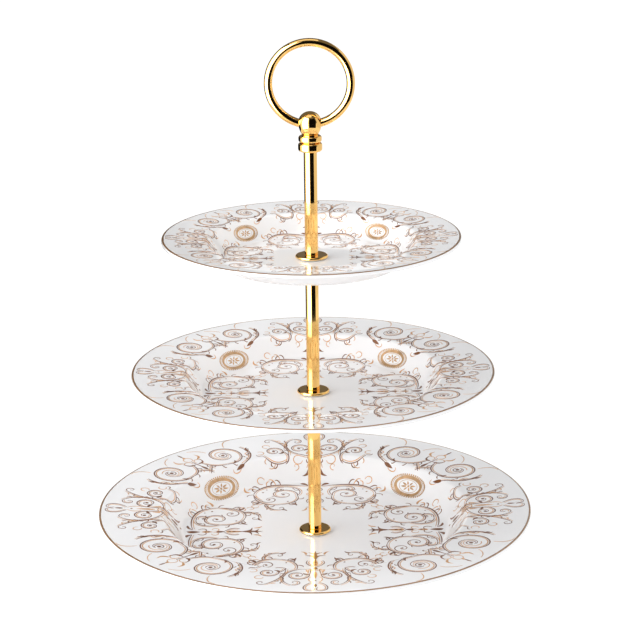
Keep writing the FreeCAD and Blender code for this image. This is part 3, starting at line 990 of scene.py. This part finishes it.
def rim_sprig():
    """The sprig on a diagonal between the two spirals."""
    stalk = bow((104, 0), (110, 0), (116, 0), (122, 0))
    dark = [stalk, leaf((104.6, 0), (112.4, 0), 1.1), leaf((130.4, 0), (135.8, 0), 0.6)]
    pale = [hoop((125, 0), 3.2, -165, 165), leaf((127.6, 0), (131, 0), 0.9)]
    pale += mirrored([hoop((119.4, 4.4), 3.0, -120, 170), leaf((122.4, 6), (129.4, 9.6), 0.8, 0.3)])
    dark += mirrored([leaf((116, 0.5), (121.4, 7.8), 0.65, 0.3)])
    return dark, pale


def medallion():
    """A medallion on the wall: a beaded edge, a broad band, fine rings and a rosette of petals."""
    middle, deep, wide = 88.4, 8.0, 14.2

    def at(part, turn):
        """A place in the medallion, by its part of the way out and its part of a turn."""
        bearing = 2 * math.pi * turn
        return middle + part * deep * math.cos(bearing), part * wide * math.sin(bearing)

    beads = 48
    strokes = [dot(at(1, i / beads), 0.62) for i in range(beads)]
    for part, half in ((0.91, 0.18), (0.76, 1.1), (0.54, 0.16)):
        strokes.append([(*at(part, turn), half) for turn in even_steps(60)])
    petals = 8
    for i in range(petals):
        turn = (i + 0.5) / petals
        strokes.append(leaf(at(0.12, turn), at(0.44, turn), 0.6))
    strokes.append(dot((middle, 0), 0.9))
    return strokes


def mirrored(strokes):
    """The strokes and their mirror image across the group's axis."""
    return strokes + [[(u, -v, half) for u, v, half in stroke] for stroke in strokes]


def turned(strokes, degrees):
    """The strokes turned about the plate's axis."""
    along = math.cos(math.radians(degrees))
    across = math.sin(math.radians(degrees))
    return [[(u * along - v * across, u * across + v * along, half) for u, v, half in stroke]
            for stroke in strokes]


def whole_ornament():
    """All strokes of a plate: the dark lines, the pale lines and the medallions."""
    dark, pale, medallions = [], [], []
    for quarter in range(4):
        on_axis = 90 * quarter
        diagonal = on_axis + 45
        for group, turn, paired in (
            (well_cartouche, on_axis, True),
            (well_stem, on_axis, False),
            (rim_fingers, on_axis, True),
            (rim_crest, on_axis, False),
            (rim_volute, diagonal, True),
            (rim_sprig, diagonal, False),
        ):
            lines, echoes = group()
            dark += turned(mirrored(lines) if paired else lines, turn)
            pale += turned(mirrored(echoes) if paired else echoes, turn)
        medallions += turned(medallion(), diagonal)
    return dark, pale, medallions


def surface_path(tier):
    """The plate's upper surface from the hole to the lip: lengths along it, and its points."""
    points = rounded(plate_section(tier))
    outer = max(radius for radius, height in points)
    lip = next(i for i, (radius, height) in enumerate(points) if radius > outer - MERGE)
    points = [(0.0, points[0][1])] + points[:lip + 1]
    lengths = [0.0]
    for (r0, z0), (r1, z1) in zip(points, points[1:]):
        lengths.append(lengths[-1] + math.hypot(r1 - r0, z1 - z0))
    return lengths, points


def draped(path, u, v, lift):
    """The place of a flat point (u, v) on the plate's surface, lifted off it."""
    lengths, points = path
    run = math.hypot(u, v)
    i = min(max(bisect.bisect_right(lengths, run), 1), len(lengths) - 1)
    (r0, z0), (r1, z1) = points[i - 1], points[i]
    span = lengths[i] - lengths[i - 1]
    part = (run - lengths[i - 1]) / span
    radius = r0 + (r1 - r0) * part - (z1 - z0) / span * lift
    height = z0 + (z1 - z0) * part + (r1 - r0) / span * lift
    return (radius * u / run, radius * v / run, height)


def refined(stroke):
    """The stroke with short steps where it crosses the well's curved wall."""
    points = [stroke[0]]
    for before, after in zip(stroke, stroke[1:]):
        du, dv = after[0] - before[0], after[1] - before[1]
        run = math.hypot(after[0], after[1])
        longest = STEP_ON_WALL if WALL_RUN[0] < run < WALL_RUN[1] else STEP_ELSEWHERE
        parts = math.ceil(math.hypot(du, dv) / longest)
        for i in range(1, parts + 1):
            points.append(tuple(b + (a - b) * i / parts for b, a in zip(before, after)))
    return points


def ribbon(stroke, scale, path, lift):
    """A stroke as rows of three points across it, draped on the plate."""
    rows = []
    for i, (u, v, half) in enumerate(stroke):
        du, dv = heading(stroke, i)
        for side in (half, 0.0, -half):
            rows.append(draped(path, (u - dv * side) * scale, (v + du * side) * scale, lift))
    return rows


def painted_piece(name, tier, strokes, scale, lift, make):
    """Strokes as one thin printed film on a plate, each a closed shell that is sunk in the glaze."""
    path = surface_path(tier)
    vertices, faces = [], []
    for number, stroke in enumerate(strokes):
        stroke = refined(stroke)
        first = len(vertices)
        # Lines that cross lie at slightly different heights, so that no two share a surface.
        vertices += ribbon(stroke, scale, path, lift + number % LEVELS * LINE_STEP)
        for row in range(len(stroke) - 1):
            for column in (0, 1):
                a = first + 3 * row + column
                faces.append((a, a + 1, a + 4, a + 3))
    mesh = bpy.data.meshes.new(name)
    mesh.from_pydata(vertices, [], faces)
    piece = bpy.data.objects.new(name, mesh)
    bpy.context.scene.collection.objects.link(piece)
    applied(piece, "SOLIDIFY", thickness=settings().paint.film, offset=-1.0)
    bpy.ops.object.shade_smooth_by_angle(angle=SMOOTH_BELOW)
    return placed(piece, TIER_BODIES[tier], "porcelain", shared(make))


def paint_plate(tier):
    """The printed ornament of one plate, and the banded line round its rim."""
    paint = settings().paint
    dark, pale, medallions = whole_ornament()
    whole_run = surface_path(tier)[0][-1]
    scale = whole_run / DESIGN_RUN
    painted_piece(f"{tier}_plate_sepia_scrolls", tier, dark, scale, paint.lift_dark, sepia_enamel)
    painted_piece(f"{tier}_plate_tan_scrolls", tier, pale, scale, paint.lift_pale, tan_enamel)
    painted_piece(f"{tier}_plate_medallions", tier, medallions, scale, paint.lift_pale, burnished_gold)
    half = paint.edge_line / 2
    middle = whole_run - paint.edge_inset - half
    turns = even_steps(settings().sizes.round_steps)
    line = [(*around((0, 0), middle, 2 * math.pi * turn), half) for turn in turns]
    painted_piece(f"{tier}_plate_edge_line", tier, [line], 1.0, paint.lift_dark, edge_enamel)


# ---------------------------------------------------------------- studio

def plain_floor():
    """A pale, matt table that runs on past the view, lit so evenly that it glows a little."""
    studio = settings().studio
    material, tree = new_material("matt_pale_floor")
    tone = clouded(tree, linear(studio.floor), 0.99, 1.0, 400 * MM)
    shader = add_node(tree, "ShaderNodeBsdfPrincipled",
                      {"Roughness": 0.9, "Specular IOR Level": 0.0, "Emission Color": (1, 1, 1, 1),
                       "Emission Strength": studio.floor_glow},
                      {"Base Color": tone})
    add_node(tree, "ShaderNodeOutputMaterial", links={"Surface": shader.outputs[0]})
    return material


def glowing(name, strength):
    """What covers a studio card: it only glows."""
    material, tree = new_material(name)
    glow = add_node(tree, "ShaderNodeEmission", {"Strength": strength})
    add_node(tree, "ShaderNodeOutputMaterial", links={"Surface": glow.outputs[0]})
    return material


def softbox(name, radiance):
    """A soft area light that gives an even radiance."""
    place, turn, size = SOFTBOXES[name]
    deselect_everything()
    bpy.ops.object.light_add(type="AREA", location=place, rotation=[math.radians(a) for a in turn])
    lamp = bpy.context.object
    lamp.name = lamp.data.name = name
    lamp.data.shape = "RECTANGLE"
    lamp.data.size, lamp.data.size_y = size
    lamp.data.energy = radiance * math.pi * size[0] * size[1]
    lamp.visible_camera = False
    return lamp


def card(name, first, last, reach, high, material):
    """A curved studio card that stands on the table round part of the stand, between two directions
    in degrees from the front, and that only mirrors see."""
    deselect_everything()
    start = math.radians(first)
    piece = start_point(name, (reach * math.sin(start), -reach * math.cos(start), 0))
    bpy.ops.mesh.extrude_region_move(TRANSFORM_OT_translate={"value": (0, 0, high)})
    bpy.ops.mesh.select_all(action="SELECT")
    bpy.ops.mesh.spin(steps=CARD_STEPS, angle=math.radians(last - first), center=(0, 0, 0),
                      axis=(0, 0, -1))
    bpy.ops.object.mode_set(mode="OBJECT")
    piece.data.materials.append(material)
    for ray in ("camera", "diffuse", "shadow", "transmission", "volume_scatter"):
        setattr(piece, f"visible_{ray}", False)
    return piece


def build_room():
    """A dim room for mirrors, pale where the camera would see past the floor."""
    studio = settings().studio
    world = bpy.data.worlds.new("dim_studio_room")
    bpy.context.scene.world = world
    world.use_nodes = True
    tree = world.node_tree
    tree.nodes.clear()
    ray = add_node(tree, "ShaderNodeLightPath")
    direction = add_node(tree, "ShaderNodeTexCoord").outputs["Generated"]
    slope = add_node(tree, "ShaderNodeVectorMath", {}, {0: direction}, operation="DOT_PRODUCT")
    slope.inputs[1].default_value = (-studio.fill_lean, studio.fill_back, -studio.fill_drop)
    fill = add_node(tree, "ShaderNodeMath", {0: studio.fill}, {1: slope.outputs["Value"]})
    mirrored_or_fill = add_node(tree, "ShaderNodeMix", {"A": studio.room},
                                {"Factor": ray.outputs["Is Diffuse Ray"], "B": fill.outputs[0]})
    seen_or_not = add_node(tree, "ShaderNodeMix", {"B": 1.0},
                           {"Factor": ray.outputs["Is Camera Ray"], "A": mirrored_or_fill.outputs[0]})
    room = add_node(tree, "ShaderNodeBackground", {"Color": (1, 1, 1, 1)},
                    {"Strength": seen_or_not.outputs[0]})
    add_node(tree, "ShaderNodeOutputWorld", links={"Surface": room.outputs[0]})


def build_floor():
    """The pale table."""
    deselect_everything()
    bpy.ops.mesh.primitive_plane_add(size=FLOOR_SIZE)
    floor = bpy.context.object
    floor.name = floor.data.name = "studio_floor"
    floor.data.materials.append(plain_floor())


def build_lights():
    """The overhead and left softboxes, and the pale and dark cards that the polished metal mirrors."""
    studio = settings().studio
    softbox("overhead_softbox", studio.key_power)
    side = softbox("left_softbox", studio.side_power)
    side.visible_glossy = False
    covers = {
        "strip": glowing("strip_diffuser", studio.strip_power),
        "panel": glowing("reflector_panel", studio.panel_power),
        "flock": glowing("black_flock", studio.flock),
        "paper": glowing("backdrop_paper", studio.backdrop),
    }
    for name, (first, last, reach, high, cover) in CARDS.items():
        card(name, first, last, reach, high, covers[cover])


def build_camera():
    """The camera, in front of the stand and looking down on its tiers."""
    studio = settings().studio
    deselect_everything()
    bpy.ops.object.camera_add()
    camera = bpy.context.object
    camera.name = "studio_camera"
    camera.data.lens = studio.lens
    camera.data.sensor_width = 36.0
    place = Matrix.Translation((studio.camera_side, -studio.camera_distance, studio.camera_height))
    look = Matrix.Rotation(math.pi / 2 - studio.camera_pitch, 4, "X")
    camera.matrix_world = place @ look @ Matrix.Rotation(studio.camera_roll, 4, "Z")
    bpy.context.scene.camera = camera


# ---------------------------------------------------------------- operators and panel

class MESH_OT_stand_studio(bpy.types.Operator):
    """Set up the floor, the lights, the room and the camera"""

    bl_idname = "mesh.stand_studio"
    bl_label = "Studio"
    bl_options = {"REGISTER", "UNDO"}

    def execute(self, context):
        context.scene.view_settings.view_transform = "Standard"
        build_camera()
        build_room()
        build_floor()
        build_lights()
        return {"FINISHED"}


class MESH_OT_stand_plates(bpy.types.Operator):
    """Turn the three porcelain plates"""

    bl_idname = "mesh.stand_plates"
    bl_label = "Plates"
    bl_options = {"REGISTER", "UNDO"}

    def execute(self, context):
        for tier in TIERS:
            build_plate(tier)
        return {"FINISHED"}


class MESH_OT_stand_ornament(bpy.types.Operator):
    """Print the scrolls, medallions and rim lines on the plates"""

    bl_idname = "mesh.stand_ornament"
    bl_label = "Ornament"
    bl_options = {"REGISTER", "UNDO"}

    def execute(self, context):
        for tier in TIERS:
            paint_plate(tier)
        return {"FINISHED"}


class MESH_OT_stand_washers(bpy.types.Operator):
    """Make the soft washers between the discs and the plates"""

    bl_idname = "mesh.stand_washers"
    bl_label = "Soft Washers"
    bl_options = {"REGISTER", "UNDO"}

    def execute(self, context):
        build_washers()
        return {"FINISHED"}


class MESH_OT_stand_discs(bpy.types.Operator):
    """Make the gilt discs that clamp each plate"""

    bl_idname = "mesh.stand_discs"
    bl_label = "Gilt Discs"
    bl_options = {"REGISTER", "UNDO"}

    def execute(self, context):
        build_discs()
        return {"FINISHED"}


class MESH_OT_stand_rods(bpy.types.Operator):
    """Make the three gilt rods between the tiers"""

    bl_idname = "mesh.stand_rods"
    bl_label = "Rods"
    bl_options = {"REGISTER", "UNDO"}

    def execute(self, context):
        build_rods()
        return {"FINISHED"}


class MESH_OT_stand_studs(bpy.types.Operator):
    """Make the studs that join the rods and hold the handle"""

    bl_idname = "mesh.stand_studs"
    bl_label = "Threaded Studs"
    bl_options = {"REGISTER", "UNDO"}

    def execute(self, context):
        build_studs()
        return {"FINISHED"}


class MESH_OT_stand_screw(bpy.types.Operator):
    """Plate the slotted screw under the large plate"""

    bl_idname = "mesh.stand_screw"
    bl_label = "Base Screw"
    bl_options = {"REGISTER", "UNDO"}

    def execute(self, context):
        finish_screw()
        return {"FINISHED"}


class MESH_OT_stand_knob(bpy.types.Operator):
    """Turn the handle's ball and beads and cut the ring's sockets"""

    bl_idname = "mesh.stand_knob"
    bl_label = "Ball and Beads"
    bl_options = {"REGISTER", "UNDO"}

    def execute(self, context):
        build_knob()
        return {"FINISHED"}


class MESH_OT_stand_ring(bpy.types.Operator):
    """Bend the carrying ring"""

    bl_idname = "mesh.stand_ring"
    bl_label = "Carrying Ring"
    bl_options = {"REGISTER", "UNDO"}

    def execute(self, context):
        build_ring()
        return {"FINISHED"}


class VIEW3D_PT_cake_stand(bpy.types.Panel):
    """Lists the stand's operators and settings"""

    bl_label = "Cake Stand"
    bl_idname = "VIEW3D_PT_cake_stand"
    bl_space_type = "VIEW_3D"
    bl_region_type = "UI"
    bl_category = "Cake Stand"

    def draw(self, context):
        column = self.layout.column(align=True)
        for operator in OPERATORS:
            column.operator(operator.bl_idname)
        stand = context.scene.cake_stand
        for group in (stand.sizes, stand.paint, stand.finish, stand.studio):
            box = self.layout.box()
            for name in group.bl_rna.properties.keys():
                if name not in ("rna_type", "name", *TIERS):
                    box.prop(group, name)


OPERATORS = (
    MESH_OT_stand_studio,
    MESH_OT_stand_plates,
    MESH_OT_stand_ornament,
    MESH_OT_stand_washers,
    MESH_OT_stand_discs,
    MESH_OT_stand_rods,
    MESH_OT_stand_studs,
    MESH_OT_stand_screw,
    MESH_OT_stand_knob,
    MESH_OT_stand_ring,
)
CLASSES = (PlateShape, StandSizes, PaintSettings, FinishSettings, StudioSettings, StandSettings,
           *OPERATORS, VIEW3D_PT_cake_stand)


def register():
    for cls in CLASSES:
        bpy.utils.register_class(cls)
    bpy.types.Scene.cake_stand = bpy.props.PointerProperty(name="Cake stand", type=StandSettings)


def unregister():
    del bpy.types.Scene.cake_stand
    for cls in reversed(CLASSES):
        bpy.utils.unregister_class(cls)


def shape_plates():
    """Give each plate its own sizes."""
    for tier in TIERS:
        shape = getattr(settings().sizes, tier)
        for name, millimetres in TIER_SHAPES[tier].items():
            setattr(shape, name, millimetres * MM)


def main():
    register()
    shape_plates()
    for operator in OPERATORS:
        family, name = operator.bl_idname.split(".")
        getattr(getattr(bpy.ops, family), name)()


if __name__ == "__main__":
    main()
